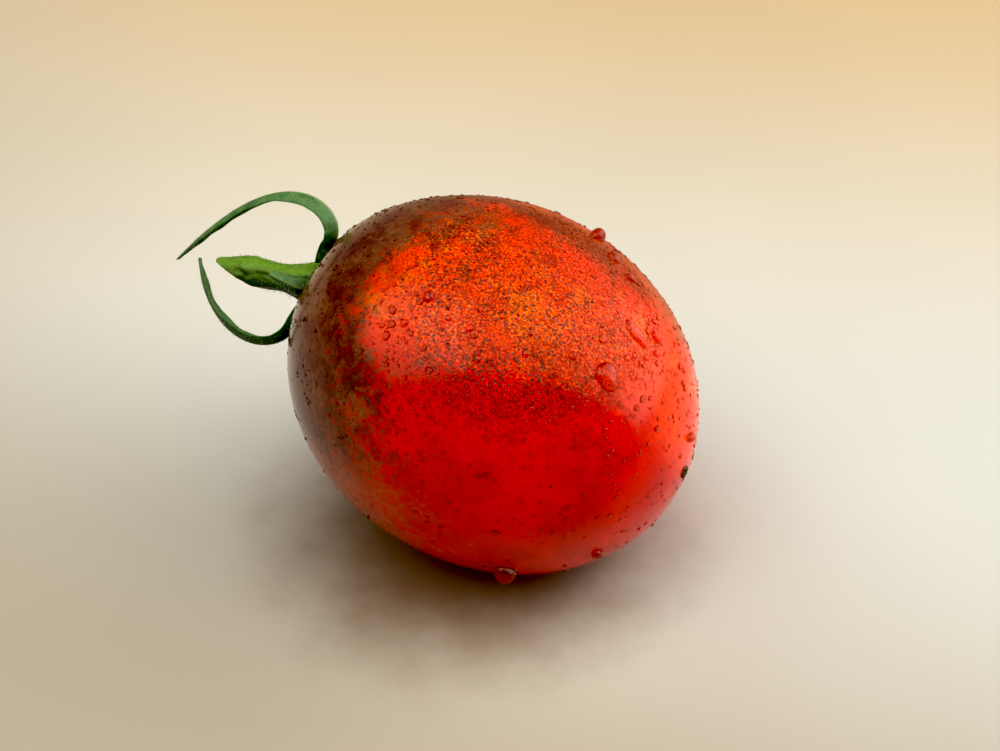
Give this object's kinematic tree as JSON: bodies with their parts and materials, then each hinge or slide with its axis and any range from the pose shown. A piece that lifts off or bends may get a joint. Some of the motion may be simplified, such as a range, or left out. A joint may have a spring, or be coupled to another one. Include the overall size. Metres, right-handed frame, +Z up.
{
  "type": "plum tomato",
  "caption": "Small ripe plum tomato lying on its side, with a short broken stalk and curled sepals, resting on a small flat spot.",
  "frame": {"origin": "middle of the flat spot that the fruit rests on", "axes": "+X towards the blossom end, so the stalk is at -X; +Z up; the fruit's own axis dips 12.5 degrees towards +X"},
  "size_m": [0.0512, 0.033, 0.0318],
  "materials": {
    "skin": "ripe red tomato skin, glossy, brown-purple at the shoulder, wet with fine drops",
    "stalk": "fresh green stalk, slightly downy",
    "sepal": "thin green sepals, matte and downy"
  },
  "bodies": {
    "root": {"fruit": "skin", "stalk": "stalk", "sepal_1": "sepal", "sepal_2": "sepal", "sepal_3": "sepal", "sepal_4": "sepal", "sepal_5": "sepal"}
  },
  "joints": []
}
